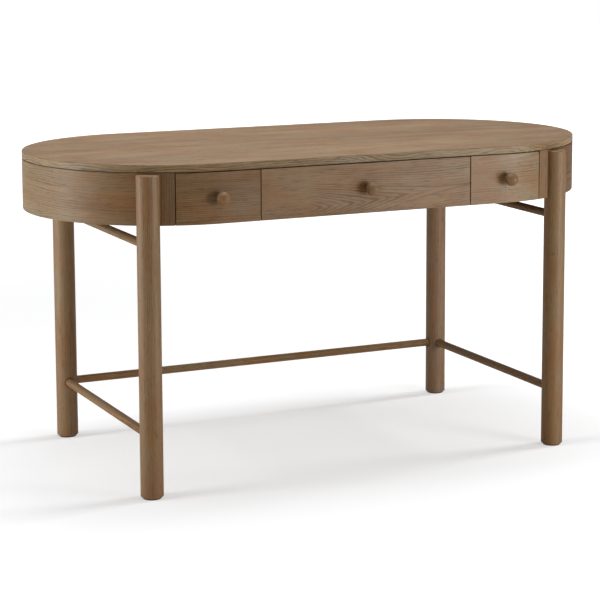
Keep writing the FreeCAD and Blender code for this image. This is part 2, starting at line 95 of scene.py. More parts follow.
def fade(tree, value, low, high, start=0.0, end=1.0):
    """Eases a value from start to end as it goes from low to high."""
    values = {"Value": value, "From Min": low, "From Max": high, "To Min": start, "To Max": end}
    return put(tree, "ShaderNodeMapRange", values, interpolation_type="SMOOTHSTEP").outputs[0]


def mix(tree, amount, first, second, kind="MIX"):
    """Mixes two colours."""
    node = put(tree, "ShaderNodeMix", data_type="RGBA", blend_type=kind)
    for index, value in ((0, amount), (6, first), (7, second)):
        if isinstance(value, bpy.types.NodeSocket):
            tree.links.new(value, node.inputs[index])
        else:
            node.inputs[index].default_value = value
    return node.outputs[2]


def start_group(name, inputs, outputs):
    """A new shader group with its named sockets. Gives the group, its inputs and its output node."""
    tree = bpy.data.node_groups.new(name, "ShaderNodeTree")
    for label, kind in inputs.items():
        tree.interface.new_socket(label, in_out="INPUT", socket_type=f"NodeSocket{kind}")
    for label, kind in outputs.items():
        tree.interface.new_socket(label, in_out="OUTPUT", socket_type=f"NodeSocket{kind}")
    return tree, tree.nodes.new("NodeGroupInput").outputs, tree.nodes.new("NodeGroupOutput")


def use_group(tree, group, inputs=None):
    """Adds a shader group to a material and gives its outputs."""
    node = tree.nodes.new("ShaderNodeGroup")
    node.node_tree = group
    for name, value in (inputs or {}).items():
        if isinstance(value, bpy.types.NodeSocket):
            tree.links.new(value, node.inputs[name])
        else:
            node.inputs[name].default_value = value
    return node.outputs


def make_round_path():
    """Where a point lies on the desk's outline: along it from the middle of the front, up, and inwards."""
    tree, _, out = start_group("round_path", {}, {"Place": "Vector"})
    x, y, z = split(tree, put(tree, "ShaderNodeTexCoord").outputs["Object"])
    sideways = calc(tree, "ABSOLUTE", x)
    past = calc(tree, "MAXIMUM", calc(tree, "SUBTRACT", sideways, end_centre), 0.0)
    forward = calc(tree, "SUBTRACT", plan_middle, y)
    turn = calc(tree, "ARCTAN2", past, forward)
    straight = calc(tree, "MINIMUM", sideways, end_centre)
    along = calc(tree, "MULTIPLY_ADD", turn, end_radius, straight)
    along = calc(tree, "MULTIPLY", along, calc(tree, "SIGN", x))
    reach = calc(tree, "SQRT", calc(tree, "ADD", calc(tree, "POWER", past, 2.0),
                                    calc(tree, "POWER", forward, 2.0)))
    inward = calc(tree, "SUBTRACT", end_radius, reach)
    tree.links.new(join(tree, along, z, inward), out.inputs["Place"])
    return tree


def make_oak_figure():
    """Growth rings cut by the face, with open pores in the early wood, fine fibres, short dark strokes,
    and slow changes of tone. The place is along the grain, across it, and in from the face."""
    inputs = {"Place": "Vector", "Log": "Vector", "Ring": "Float", "Pith": "Float", "Middle": "Float",
              "Rise": "Float", "Bend": "Float", "Tilt": "Float", "Wander": "Float", "Point": "Float",
              "Start": "Float"}
    outputs = {"Rings": "Float", "Pores": "Float", "Fibres": "Float", "Strokes": "Float", "Bands": "Float",
               "Clouds": "Float", "Flecks": "Float"}
    tree, given, out = start_group("oak_figure", inputs, outputs)
    place = given["Place"]
    log = shift(tree, place, given["Log"])
    along, across, depth = split(tree, place)
    wave = noise(tree, stretch(tree, log, 2.6, 11.0, 11.0), detail=3.0)
    lean = noise(tree, stretch(tree, shift(tree, log, (4.1, 7.3, 1.9)), 1.4, 3.0, 3.0), detail=2.0)
    heart = calc(tree, "MULTIPLY_ADD", along, given["Tilt"], given["Middle"])
    aside = calc(tree, "SUBTRACT", across, heart)
    aside = calc(tree, "MULTIPLY_ADD", calc(tree, "SUBTRACT", wave, 0.5), given["Wander"], aside)
    slope = calc(tree, "MULTIPLY_ADD", along, given["Bend"], given["Rise"])
    below = calc(tree, "MULTIPLY_ADD", along, slope, calc(tree, "ADD", depth, given["Pith"]))
    below = calc(tree, "MULTIPLY_ADD", calc(tree, "SUBTRACT", lean, 0.5), given["Wander"], below)
    parts = [calc(tree, "POWER", calc(tree, "ABSOLUTE", side), given["Point"]) for side in (aside, below)]
    radius = calc(tree, "POWER", calc(tree, "ADD", *parts), calc(tree, "DIVIDE", 1.0, given["Point"]))
    ragged = noise(tree, stretch(tree, log, 34.0, 210.0, 210.0), detail=2.0)
    crowd = put(tree, "ShaderNodeTexNoise", {"W": radius, "Scale": 40.0, "Detail": 1.0},
                noise_dimensions="1D").outputs[0]
    rings = calc(tree, "MULTIPLY_ADD", calc(tree, "SUBTRACT", ragged, 0.5), 0.5,
                 calc(tree, "DIVIDE", radius, given["Ring"]))
    rings = calc(tree, "MULTIPLY_ADD", calc(tree, "SUBTRACT", crowd, 0.5), 1.6, rings)
    part = calc(tree, "FRACT", rings)
    year = put(tree, "ShaderNodeTexWhiteNoise", {"W": calc(tree, "FLOOR", rings)},
               noise_dimensions="1D").outputs["Value"]
    early = calc(tree, "MULTIPLY", fade(tree, part, 0.0, 0.08), fade(tree, part, 0.15, 0.78, 1.0, 0.0))
    early = calc(tree, "MULTIPLY", early, calc(tree, "MULTIPLY_ADD", year, 0.55, 0.45))
    clear = noise(tree, stretch(tree, shift(tree, log, (2.3, 5.1, 8.8)), 3.0, 14.0, 14.0), detail=2.0)
    early = calc(tree, "MULTIPLY", early, fade(tree, clear, 0.34, 0.6, 0.35, 1.0))
    started = fade(tree, calc(tree, "SUBTRACT", along, given["Start"]), 0.0, 0.06, 0.2, 1.0)
    early = calc(tree, "MULTIPLY", early, started)
    tree.links.new(early, out.inputs["Rings"])
    vessel = noise(tree, stretch(tree, log, 75.0, 2100.0, 2100.0), detail=1.0)
    open_pores = calc(tree, "MULTIPLY", fade(tree, vessel, 0.56, 0.66),
                      calc(tree, "MULTIPLY_ADD", early, 0.85, 0.15))
    tree.links.new(open_pores, out.inputs["Pores"])
    tree.links.new(noise(tree, stretch(tree, log, 9.0, 340.0, 340.0), detail=3.0, roughness=0.65),
                   out.inputs["Fibres"])
    stroke = noise(tree, stretch(tree, log, 30.0, 230.0, 230.0), detail=2.0)
    tree.links.new(fade(tree, stroke, 0.56, 0.72), out.inputs["Strokes"])
    tree.links.new(noise(tree, stretch(tree, log, 1.3, 26.0, 26.0), detail=3.0, roughness=0.55),
                   out.inputs["Bands"])
    tree.links.new(noise(tree, stretch(tree, log, 8.0, 20.0, 20.0), detail=3.0, roughness=0.6),
                   out.inputs["Clouds"])
    fleck = noise(tree, stretch(tree, log, 60.0, 150.0, 150.0), detail=1.0)
    tree.links.new(fade(tree, fleck, 0.66, 0.78), out.inputs["Flecks"])
    return tree


def make_edge_wear():
    """A mask of the arrises, where the finish is rubbed thin, broken up unevenly."""
    tree, given, out = start_group("edge_wear", {"Width": "Float"}, {"Worn": "Float"})
    flat = put(tree, "ShaderNodeNewGeometry").outputs["Normal"]
    eased = put(tree, "ShaderNodeBevel", {"Radius": given["Width"]}, samples=4).outputs[0]
    same = put(tree, "ShaderNodeVectorMath", {0: flat, 1: eased}, operation="DOT_PRODUCT").outputs["Value"]
    edge = fade(tree, same, 0.995, 0.86)
    place = put(tree, "ShaderNodeTexCoord").outputs["Object"]
    rubbed = fade(tree, noise(tree, place, 38.0, 3.0), 0.32, 0.6)
    tree.links.new(calc(tree, "MULTIPLY", edge, rubbed), out.inputs["Worn"])
    return tree


round_path = make_round_path()
oak_figure = make_oak_figure()
edge_wear = make_edge_wear()


def on_path(tree):
    """Grain that runs level round the desk's outline."""
    return use_group(tree, round_path)["Place"]


def up_path(tree):
    """Grain that stands upright on the desk's outline."""
    along, up, inward = split(tree, on_path(tree))
    return join(tree, up, along, inward)


def on_back(tree):
    """Grain that runs level along the straight back."""
    x, y, z = split(tree, put(tree, "ShaderNodeTexCoord").outputs["Object"])
    return join(tree, x, z, y)


def toned(colour, by):
    """A colour made lighter or darker by one amount, or by one for each of its channels."""
    amounts = by if isinstance(by, tuple) else (by, by, by)
    return tuple(channel * amount for channel, amount in zip(colour, amounts))


def start_finish(name):
    """A new material. Gives it with its node tree and its shader."""
    made = bpy.data.materials.new(name)
    made.use_nodes = True
    return made, made.node_tree, made.node_tree.nodes["Principled BSDF"]


warm_patch = (1.09, 0.98, 0.85)
cool_patch = (0.93, 1.01, 1.09)
plain_tone = 0.75
ring_depth = 0.66
stroke_depth = 0.44
pore_stain = 0.32
fleck_tone = 1.16
rubbed_tone = 1.35
rubbed_width = 0.0016


def oak(name, place, light, dark, log=(0.0, 0.0, 0.0), ring=0.005, pith=0.05, middle=0.0, rise=0.05,
        bend=0.0, tilt=0.0, wander=0.03, point=2.0, start=-9.0, gloss=0.45, contrast=1.0, mottle=1.0,
        shine=0.35, drift=1.0, streak=1.0, tint=None):
    """Stained oak under satin lacquer. The place is a function that gives where a point lies in its board.
    The log, ring, pith, middle, rise, bend, tilt, wander, point and start shape its growth rings. The
    mottle, drift and streak weigh its blotches, its changes of hue and its dark strokes."""
    made, tree, finish = start_finish(name)
    spot = place(tree)
    figure = use_group(tree, oak_figure, {"Place": spot, "Log": log, "Ring": ring, "Pith": pith,
                                          "Middle": middle, "Rise": rise, "Bend": bend, "Tilt": tilt,
                                          "Wander": wander, "Point": point, "Start": start})
    tone = calc(tree, "MULTIPLY_ADD", figure["Rings"], -ring_depth * contrast, plain_tone)
    tone = calc(tree, "MULTIPLY_ADD", figure["Strokes"], -stroke_depth * streak * contrast, tone)
    for part, weight in (("Fibres", 1.3), ("Bands", 1.0), ("Clouds", mottle)):
        swing = calc(tree, "SUBTRACT", figure[part], 0.5)
        tone = calc(tree, "MULTIPLY_ADD", swing, weight * contrast, tone)
    colour = mix(tree, tone, (*dark, 1.0), (*light, 1.0))
    hue = mix(tree, fade(tree, figure["Clouds"], 0.35, 0.65), (*warm_patch, 1.0), (*cool_patch, 1.0))
    colour = mix(tree, drift, colour, hue, "MULTIPLY")
    if tint:
        colour = mix(tree, 1.0, colour, tint(tree), "MULTIPLY")
    stained = (*toned(dark, pore_stain), 1.0)
    colour = mix(tree, calc(tree, "MULTIPLY", figure["Pores"], 0.75), colour, stained)
    pale = (*toned(light, fleck_tone), 1.0)
    colour = mix(tree, calc(tree, "MULTIPLY", figure["Flecks"], 0.22), colour, pale)
    worn = use_group(tree, edge_wear, {"Width": rubbed_width})["Worn"]
    rubbed = (*toned(light, rubbed_tone), 1.0)
    colour = mix(tree, calc(tree, "MULTIPLY", worn, 0.4), colour, rubbed)
    tree.links.new(colour, finish.inputs["Base Color"])
    handled = noise(tree, spot, 7.0, 3.0)
    sheen = calc(tree, "MULTIPLY_ADD", handled, 0.14, gloss - 0.07)
    sheen = calc(tree, "MULTIPLY_ADD", figure["Pores"], 0.22, sheen)
    tree.links.new(sheen, finish.inputs["Roughness"])
    finish.inputs["Specular IOR Level"].default_value = shine
    relief = calc(tree, "MULTIPLY", figure["Fibres"], 0.35)
    relief = calc(tree, "MULTIPLY_ADD", figure["Pores"], -1.0, relief)
    relief = calc(tree, "MULTIPLY_ADD", figure["Rings"], -0.25, relief)
    bump = put(tree, "ShaderNodeBump", {"Strength": 0.45, "Distance": 0.00025, "Height": relief})
    tree.links.new(bump.outputs[0], finish.inputs["Normal"])
    return made


def dress(names, material, arris=0.0008):
    """Gives pieces their finish, and eases their sharp edges."""
    for name in names:
        piece = nodes[name]
        piece.data.materials.clear()
        piece.data.materials.append(material)
        if arris:
            weld = piece.modifiers.new("weld", "WELD")
            weld.merge_threshold = 1e-6
            eased = piece.modifiers.new("arris", "BEVEL")
            eased.width = arris
            eased.segments = 2
            eased.limit_method = "ANGLE"
            eased.angle_limit = math.radians(40)
            faces = piece.modifiers.new("faces", "WEIGHTED_NORMAL")
            faces.weight = 60


def painted_light_along(low, high, first, last):
    """Painted light and shade on a leaf of veneer: a tone and hue that change from one end to the other,
    where the lamps fall on it more or less.
    """
    def tint(tree):
        along = split(tree, on_path(tree))[0]
        return mix(tree, fade(tree, along, low, high), (*first, 1.0), (*last, 1.0))
    return tint


# The left end is painted paler and greyer towards its tip, a painted sheen from the left lamps, and a little
# darker and warmer towards the front leg, painted shade.
dress(["apron_left"], oak("apron_left_oak", on_path, (0.300, 0.186, 0.088), (0.150, 0.083, 0.033),
                          log=(3.1, 0.4, 0.2), middle=0.70, pith=0.03, rise=0.03, wander=0.05,
                          tint=painted_light_along(-0.86, -0.58, (1.0, 1.10, 1.18), (0.97, 0.92, 0.86))))
# The right end is toned darker than the other aprons, and darker and redder still towards the front leg:
# painted shade.
dress(["apron_right"], oak("apron_right_oak", on_path, (0.270, 0.152, 0.068), (0.135, 0.071, 0.027),
                           log=(7.7, 1.4, 0.9), middle=0.66, pith=0.04, rise=-0.04, wander=0.05,
                           contrast=1.3, shine=0.15,
                           tint=painted_light_along(0.80, 1.10, (0.72, 0.62, 0.50), (1.06, 1.08, 1.10))))
dress(["apron_back"], oak("apron_back_oak", on_back, (0.294, 0.180, 0.090), (0.147, 0.084, 0.035),
                          log=(1.7, 2.4, 0.5), middle=0.69, pith=0.02, rise=0.05, contrast=0.8, drift=0.5))
dress(["stile_left"], oak("stile_left_oak", up_path, (0.261, 0.145, 0.067), (0.131, 0.067, 0.027),
                          log=(0.9, 5.4, 2.5), middle=0.2, pith=0.05, rise=0.02, wander=0.01))
dress(["stile_right"], oak("stile_right_oak", up_path, (0.300, 0.191, 0.109), (0.150, 0.088, 0.043),
                           log=(4.3, 2.2, 1.1), middle=0.2, pith=0.05, rise=0.02, wander=0.01))

# The boards inside the apron: dividers, end panels, rails and the blocks behind the legs.
# They are planed hardwood under a thin clear sealer, glued and screwed where the rails pass
# through the dividers' notches.


def along_x(tree):
    """Grain that runs along the desk."""
    return put(tree, "ShaderNodeTexCoord").outputs["Object"]


def along_y(tree):
    """Grain that runs from front to back."""
    x, y, z = split(tree, along_x(tree))
    return join(tree, y, z, x)


plain_light = (0.46, 0.33, 0.20)
plain_dark = (0.33, 0.22, 0.125)
dress(["divider_left", "divider_right", "end_panel_left", "end_panel_right"],
      oak("divider_wood", along_y, plain_light, plain_dark, log=(2.2, 0.1, 0.7), ring=0.003, middle=0.3,
          gloss=0.6, contrast=0.7, drift=0.4))
dress(["rail_front_lower", "rail_front_upper", "rail_back_upper"],
      oak("rail_wood", along_x, plain_light, plain_dark, log=(5.2, 0.6, 0.3), ring=0.003, middle=0.3,
          gloss=0.6, contrast=0.7, drift=0.4))


def upright(tree):
    """Grain that stands upright."""
    x, y, z = split(tree, along_x(tree))
    return join(tree, z, x, y)


dress(["corner_block_front_left", "corner_block_front_right", "corner_block_back_left",
       "corner_block_back_right"],
      oak("block_wood", upright, plain_light, plain_dark, log=(1.2, 3.6, 0.3), ring=0.004, middle=0.2,
          gloss=0.65, contrast=0.7, drift=0.4))

# The four legs: turned from solid oak blanks, lapped at the top to half their width so that
# the apron rests on a shoulder, stained and lacquered before they are bolted on.

leg_light = (0.330, 0.204, 0.104)
leg_dark = (0.166, 0.095, 0.042)
socket_dark_tone = (0.38, 0.34, 0.30)
socket_gap = 0.0005
socket_ring_width = 0.004


def upright_in(node):
    """Grain that stands upright in a turned piece, with its heart in the piece's middle."""
    low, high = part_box(node)
    middle = (low + high) / 2

    def place(tree):
        x, y, z = split(tree, along_x(tree))
        return join(tree, z, calc(tree, "SUBTRACT", x, middle.x), calc(tree, "SUBTRACT", y, middle.y))
    return place


def round_sockets(leg, rods):
    """Darker rings on a leg round the sockets where its stretchers enter. Each rod comes with the way it
    runs: 0 along x, 1 along y."""
    low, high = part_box(leg)
    middle = (low + high) / 2

    def tint(tree):
        spot = split(tree, along_x(tree))
        darkened = 0.0
        for rod, run in rods:
            low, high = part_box(rod)
            centre = (low + high) / 2
            radius = (high.z - low.z) / 2
            aside = calc(tree, "SUBTRACT", spot[1 - run], centre[1 - run])
            over = calc(tree, "SUBTRACT", spot[2], centre.z)
            off = calc(tree, "MULTIPLY_ADD", aside, aside, calc(tree, "MULTIPLY", over, over))
            off = calc(tree, "SQRT", off)
            towards = calc(tree, "MULTIPLY", calc(tree, "SUBTRACT", spot[run], middle[run]),
                           math.copysign(1.0, centre[run] - middle[run]))
            edge = radius + socket_gap
            ring = calc(tree, "MULTIPLY", fade(tree, off, edge, edge + socket_ring_width, 1.0, 0.0),
                        fade(tree, towards, 0.0, 0.004))
            darkened = calc(tree, "MAXIMUM", darkened, ring)
        return mix(tree, darkened, (1.0, 1.0, 1.0, 1.0), (*socket_dark_tone, 1.0))
    return tint


# Each leg's colour is darkened or cooled on its own, to paint the light and shade that fall on it where it
# stands.
for side, log, painted_light_tone in (("front_left", (0.3, 0.0, 0.0), (0.91, 0.835, 0.70)),
                        ("front_right", (2.6, 0.8, 0.1), (0.84, 0.79, 0.65)),
                        ("back_left", (5.1, 0.2, 0.9), (1.00, 1.00, 0.96)),
                        ("back_right", (8.4, 0.5, 0.4), (0.96, 0.98, 1.12))):
    leg = f"leg_{side}"
    end = side.split("_")[1]
    rods = [(f"stretcher_{end}", 1), (f"upper_stretcher_{end}", 1)]
    if side.startswith("back"):
        rods.append(("stretcher_back", 0))
    dress([leg], oak(f"{leg}_oak", upright_in(leg), toned(leg_light, painted_light_tone), toned(leg_dark, painted_light_tone), log=log,
                     ring=0.0035, pith=0.06, middle=0.02, rise=0.01, wander=0.012, gloss=0.52, contrast=0.5,
                     mottle=2.2, shine=0.55, streak=1.8, tint=round_sockets(leg, rods)), arris=0)

# The glides: thin discs of dark nylon, moulded with a fine dull grain. One is pressed under each
# leg, so that the desk slides and the end grain stays off the floor.

nylon_dark = (0.018, 0.015, 0.012)
nylon_light = (0.05, 0.043, 0.035)
nylon, tree, finish = start_finish("glide_nylon")
speck = noise(tree, along_x(tree), 900.0, 3.0)
tree.links.new(mix(tree, speck, (*nylon_dark, 1.0), (*nylon_light, 1.0)), finish.inputs["Base Color"])
tree.links.new(fade(tree, speck, 0.3, 0.7, 0.5, 0.7), finish.inputs["Roughness"])
dress(["foot_glides"], nylon, arris=0.0005)

# The stretchers: round oak dowel, 20 mm thick, stained and lacquered like the legs and glued into
# sockets in them. Three are low down, and two lie just under the apron at the ends.


def along_rod_x(tree):
    """Grain that runs along the back stretcher, with its heart in the dowel's middle."""
    x, y, z = split(tree, along_x(tree))
    low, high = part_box("stretcher_back")
    middle = (low + high) / 2
    return join(tree, x, calc(tree, "SUBTRACT", y, middle.y), calc(tree, "SUBTRACT", z, middle.z))


dress(["stretcher_back"], oak("stretcher_back_oak", along_rod_x, leg_light, leg_dark, log=(0.4, 0.1, 0.3),
                              ring=0.003, pith=0.04, middle=0.01, rise=0.01, wander=0.006,
                              shine=0.15), arris=0)
# The upper stretchers are toned darker, the right one most: painted shade from the apron above them.
for names, tone in ((("stretcher_left", "stretcher_right"), 1.0), (("upper_stretcher_left",), 0.85),
                    (("upper_stretcher_right",), 0.6)):
    dress(names, oak(f"{names[0]}_oak", along_y, toned(leg_light, tone), toned(leg_dark, tone),
                     log=(2.9, 1.1, 0.8), ring=0.003, pith=0.04, middle=0.14, rise=0.01, wander=0.006,
                     shine=0.15), arris=0)

# Bolts, washers, screws and drawer slides: dull zinc plate over steel. The bolts and screws are
# headed from wire, the washers pressed, and the channels rolled from strip and screwed to the boards.

zinc_dark = (0.34, 0.345, 0.355)
zinc_light = (0.48, 0.485, 0.495)
zinc, tree, finish = start_finish("zinc_steel")
finish.inputs["Metallic"].default_value = 1.0
cloud = noise(tree, along_x(tree), 60.0, 4.0)
drawn = noise(tree, stretch(tree, along_x(tree), 900.0, 8.0, 900.0), detail=2.0)
tree.links.new(mix(tree, cloud, (*zinc_dark, 1.0), (*zinc_light, 1.0)), finish.inputs["Base Color"])
tree.links.new(calc(tree, "MULTIPLY_ADD", drawn, 0.25, 0.4), finish.inputs["Roughness"])
bump = put(tree, "ShaderNodeBump", {"Strength": 0.15, "Distance": 0.0001, "Height": drawn})
tree.links.new(bump.outputs[0], finish.inputs["Normal"])
dress(["leg_bolts", "leg_washers", "top_screws"], zinc, arris=0.0004)
dress(["centre_fixed_slides", "left_fixed_slides", "right_fixed_slides"]
      + [f"{side}_drawer_slides" for side in ("left", "centre", "right")], zinc, arris=0.0002)

# The screws of the drawer slides: pan heads with a cross recess, driven through the channel's web
# into the side of the drawer, three to a channel.

head_radius = 0.00325
head_height = 0.0018
screw_sides = 24
slot_reach = 0.0021
slot_half = 0.0004
slot_depth = 0.0009
hollow_depth = 0.0097
screws_from_front = (0.035, 0.185, 0.335)


def screw_head(made, middle, facing):
    """Adds a domed head with a cross cut in it. Its flat underside lies at the middle, and it faces
    along x."""
    rings = []
    for radius, height in ((head_radius, 0.0), (head_radius, 0.45), (0.9 * head_radius, 0.75),
                           (0.72 * head_radius, 1.0)):
        ring = []
        for step in range(screw_sides):
            turn = 2.0 * math.pi * (step + 0.5) / screw_sides
            ring.append(made.verts.new((middle[0] + facing * height * head_height,
                                        middle[1] + radius * math.cos(turn),
                                        middle[2] + radius * math.sin(turn))))
        rings.append(ring)
    for lower, upper in zip(rings, rings[1:]):
        for step in range(screw_sides):
            after = (step + 1) % screw_sides
            made.faces.new((lower[step], lower[after], upper[after], upper[step]))
    made.faces.new(rings[0])
    cross = []
    for turn in (0.0, 0.5, 1.0, 1.5):
        for across, out in ((slot_half, slot_half), (slot_half, slot_reach), (-slot_half, slot_reach)):
            c, s = math.cos(turn * math.pi), math.sin(turn * math.pi)
            cross.append((across * c - out * s, across * s + out * c))
    top, foot = [[made.verts.new((middle[0] + facing * height, middle[1] + a, middle[2] + b))
                  for a, b in cross] for height in (head_height, head_height - slot_depth)]
    count = len(cross)
    for step in range(count):
        after = (step + 1) % count
        made.faces.new((top[step], top[after], foot[after], foot[step]))
    made.faces.new(foot)
    edges = [made.edges.get((ring[step], ring[(step + 1) % len(ring)])) for ring in (rings[-1], top)
             for step in range(len(ring))]
    bmesh.ops.triangle_fill(made, edges=edges, use_beauty=True)


for side in ("left", "centre", "right"):
    low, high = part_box(f"{side}_drawer_slides")
    made = bmesh.new()
    for place, facing in ((low.x + hollow_depth, -1.0), (high.x - hollow_depth, 1.0)):
        for back in screws_from_front:
            screw_head(made, (place, low.y + back, (low.z + high.z) / 2), facing)
    bmesh.ops.recalc_face_normals(made, faces=made.faces)
    shape = bpy.data.meshes.new(f"{side}_slide_screws")
    made.to_mesh(shape)
    made.free()
    shape.shade_smooth()
    shape.set_sharp_from_angle(angle=math.radians(25))
    shape.materials.append(zinc)
    heads = bpy.data.objects.new(f"{side}_slide_screws", shape)
    bpy.context.scene.collection.objects.link(heads)
    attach(heads, f"{side}_drawer")

# The drawer boxes: pale hardwood sides and back under a clear sealer, grooved for a thin bottom.
# The sides are glued and pinned to the back, and the front is fixed to them from inside.

box_light = (0.60, 0.46, 0.30)
box_dark = (0.48, 0.35, 0.21)
box_wood = oak("drawer_side_wood", along_y, box_light, box_dark, log=(0.2, 4.1, 0.7), ring=0.0035,
               middle=0.5, gloss=0.5, contrast=0.6, drift=0.3)
back_wood = oak("drawer_back_wood", along_x, box_light, box_dark, log=(3.2, 1.1, 0.7), ring=0.0035,
                middle=0.5, gloss=0.5, contrast=0.6, drift=0.3)
for side, names in (("centre", ("side_left", "side_right")), ("left", ("side_inner", "side_outer")),
                    ("right", ("side_inner", "side_outer"))):
    dress([f"{side}_drawer_{name}" for name in names], box_wood)
    dress([f"{side}_drawer_back", f"{side}_drawer_bottom"], back_wood)

# The drawer fronts: veneered boards, the side ones bent to follow the round ends, each with its own leaf of
# veneer and cut to a fine gap all round. Their tones also hold painted light: the left front darker, the
# centre front lighter towards the right, and the right front lighter and greyer towards its end, a painted
# sheen.

dress(["centre_drawer_front"], oak("centre_front_oak", on_path, (0.272, 0.161, 0.077), (0.135, 0.073, 0.030),
                                   log=(0.6, 0.3, 0.1), ring=0.0044, pith=0.065, middle=0.657, rise=0.127,
                                   bend=-0.2, tilt=0.075, wander=0.016, point=1.25, start=-0.17,
                                   contrast=1.4,
                                   tint=painted_light_along(-0.25, 0.30, (0.97, 0.97, 0.97), (1.05, 1.08, 1.06))))
dress(["left_drawer_front"], oak("left_front_oak", on_path, (0.255, 0.151, 0.072), (0.128, 0.069, 0.028),
                                 log=(6.1, 0.9, 0.4), ring=0.004, pith=0.04, middle=0.60, rise=0.04,
                                 wander=0.03))
# Paler and greyer towards the right end: painted sheen and painted light.
dress(["right_drawer_front"], oak("right_front_oak", on_path, (0.343, 0.202, 0.097), (0.175, 0.097, 0.040),
                                  log=(9.4, 0.2, 0.8), ring=0.004, pith=0.04, middle=0.75, rise=0.03,
                                  wander=0.03, contrast=0.8, mottle=1.4,
                                  tint=painted_light_along(0.31, 0.42, (0.90, 0.87, 0.85), (1.08, 1.26, 1.50))))

# The knobs: oak balls on short necks, turned in one piece, stained and lacquered like the fronts.
# Each is held by a screw through the front from inside.

knob_light = (0.300, 0.174, 0.084)
knob_dark = (0.150, 0.080, 0.033)

for side, log in (("left", (0.5, 0.3, 0.1)), ("centre", (1.9, 0.7, 0.4)), ("right", (3.3, 0.1, 0.6))):
    knob = f"{side}_drawer_knob"
    dress([knob], oak(f"{side}_knob_oak", upright_in(knob), knob_light, knob_dark, log=log, ring=0.0022,
                      pith=0.03, middle=0.01, rise=0.02, wander=0.006, contrast=0.6), arris=0)
    dress([f"{knob}_screw"], zinc, arris=0)

# The top: a round-ended board faced with leaves of oak veneer laid lengthwise, its rim banded
# with a strip of its own, over a fine groove that reads as a dark line.

leaf_width = 0.171
leaf_heart = 0.25
leaf_jump = 7.0
flame_depth = 0.08
rim_middle = (top_low.z + top_high.z) / 2


def lying(tree):
    """A mask of the level faces."""
    facing = split(tree, put(tree, "ShaderNodeNewGeometry").outputs["Normal"])[2]
    return fade(tree, calc(tree, "ABSOLUTE", facing), 0.6, 0.7)


def in_top(tree):
    """On the faces, leaves of veneer side by side, each cut from the log at another place. On the rim, a
    band that follows the outline, with a figure that runs one way and then back."""
    x, y, z = split(tree, along_x(tree))
    leaf = calc(tree, "FLOOR", calc(tree, "DIVIDE", y, leaf_width))
    chance = put(tree, "ShaderNodeTexWhiteNoise", {"W": leaf}, noise_dimensions="1D").outputs["Value"]
    leaf_middle = calc(tree, "MULTIPLY", calc(tree, "ADD", leaf, chance), leaf_width)
    aside = calc(tree, "ADD", calc(tree, "SUBTRACT", y, leaf_middle), rim_middle + leaf_heart)
    face = join(tree, calc(tree, "MULTIPLY_ADD", chance, leaf_jump, x), aside, z)
    along, up, inward = split(tree, on_path(tree))
    flame = put(tree, "ShaderNodeTexNoise", {"W": along, "Scale": 3.0, "Detail": 1.0},
                noise_dimensions="1D").outputs[0]
    flamed = calc(tree, "MULTIPLY_ADD", flame, flame_depth, inward)
    rim = join(tree, along, calc(tree, "ADD", up, 0.05), flamed)
    chosen = put(tree, "ShaderNodeMix", {4: rim, 5: face}, data_type="VECTOR")
    tree.links.new(lying(tree), chosen.inputs[0])
    return chosen.outputs[1]


def rim_painted_sheen(tree):
    """The band round the rim is painted paler and greyer than the leaves: a painted sheen."""
    return mix(tree, lying(tree), (1.02, 1.26, 1.64, 1.0), (1.0, 1.0, 1.0, 1.0))


dress(["desktop"], oak("desktop_oak", in_top, (0.339, 0.198, 0.087), (0.170, 0.091, 0.034),
                       log=(0.3, 0.2, 0.6), ring=0.0042, pith=0.02, middle=rim_middle, rise=0.012,
                       wander=0.02, gloss=0.5, contrast=1.7, tint=rim_painted_sheen))

# The pale floor and the white room, which are only the background: a sheet of matt paper under the
# desk, shaded round it and white further off, and plain white all round.

floor_size = 30.0
floor_drop = 0.0002
shade_middle = -0.32
shade_width = 0.75
shade_depth = 1.6
shade_edge = 0.51
white_edge = 4.0
shaded_glow = 0.36
room_fill = 0.22
paper_light = (0.56, 0.50, 0.43)
paper_seen = (0.597, 0.60, 0.606)

bpy.ops.mesh.primitive_plane_add(size=floor_size, location=(0.0, 0.0, -floor_drop))
floor = bpy.context.object
floor.name = "floor"
paper, tree, finish = start_finish("white_floor")
tree.nodes.remove(finish)
out = tree.nodes["Material Output"]
x, y, z = split(tree, along_x(tree))
sideways = calc(tree, "DIVIDE", calc(tree, "ABSOLUTE", calc(tree, "SUBTRACT", x, shade_middle)), shade_width)
lengthways = calc(tree, "DIVIDE", calc(tree, "ABSOLUTE", y), shade_depth)
away = calc(tree, "ADD", calc(tree, "POWER", sideways, 4.0), calc(tree, "POWER", lengthways, 4.0))
away = calc(tree, "POWER", away, 0.25)
rays = put(tree, "ShaderNodeLightPath").outputs
mirrored = calc(tree, "MAXIMUM", rays["Is Glossy Ray"], rays["Is Transmission Ray"])
# Mirrored in the lacquer, the floor is darker in front of the desk than behind it.
behind = fade(tree, y, -1.5, 0.5, 0.05, 0.3)
seen = calc(tree, "MULTIPLY_ADD", mirrored, behind, rays["Is Camera Ray"])
